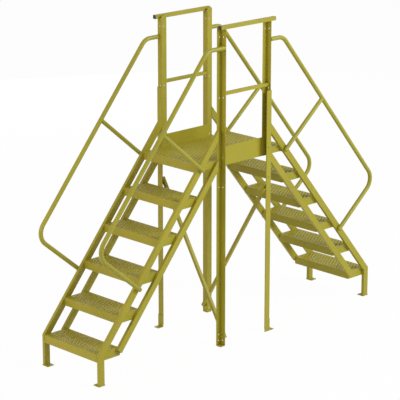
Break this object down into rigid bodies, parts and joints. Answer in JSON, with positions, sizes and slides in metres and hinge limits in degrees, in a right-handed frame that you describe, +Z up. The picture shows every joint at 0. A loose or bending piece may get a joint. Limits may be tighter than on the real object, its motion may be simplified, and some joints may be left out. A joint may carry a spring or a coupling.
{
  "type": "crossover bridge",
  "caption": "Stair-over crossover bridge: a perforated deck on an angle-leg tower with guard rails, reached by a steep open stair with tube handrails at each end.",
  "frame": {"origin": "on the floor below the middle of the deck", "axes": "+X along the walk, +Y across it, +Z up"},
  "size_m": [3.0958, 0.727, 2.591],
  "materials": {
    "yellow_paint": "satin safety-yellow powder coat",
    "black_plug": "matt black moulded plug"
  },
  "bodies": {
    "root": {"platform_deck": "yellow_paint", "toe_board_front": "yellow_paint", "toe_board_back": "yellow_paint", "leg_front_left": "yellow_paint", "leg_front_right": "yellow_paint", "leg_back_left": "yellow_paint", "leg_back_right": "yellow_paint", "brace_left": "yellow_paint", "brace_right": "yellow_paint", "upright_front_left": "yellow_paint", "upright_front_right": "yellow_paint", "upright_back_left": "yellow_paint", "upright_back_right": "yellow_paint", "top_rail_front": "yellow_paint", "top_rail_back": "yellow_paint", "mid_rail_front": "yellow_paint", "mid_rail_back": "yellow_paint", "plug_front_left": "black_plug", "plug_front_right": "black_plug", "plug_back_left": "black_plug", "plug_back_right": "black_plug", "left_tread_1": "yellow_paint", "left_tread_2": "yellow_paint", "left_tread_3": "yellow_paint", "left_tread_4": "yellow_paint", "left_tread_5": "yellow_paint", "left_front_stringer_near": "yellow_paint", "left_front_stringer_far": "yellow_paint", "left_rear_stringer_near": "yellow_paint", "left_rear_stringer_far": "yellow_paint", "left_handrail_near": "yellow_paint", "left_handrail_far": "yellow_paint", "right_tread_1": "yellow_paint", "right_tread_2": "yellow_paint", "right_tread_3": "yellow_paint", "right_tread_4": "yellow_paint", "right_tread_5": "yellow_paint", "right_front_stringer_near": "yellow_paint", "right_front_stringer_far": "yellow_paint", "right_rear_stringer_near": "yellow_paint", "right_rear_stringer_far": "yellow_paint", "right_handrail_near": "yellow_paint", "right_handrail_far": "yellow_paint"}
  },
  "joints": []
}
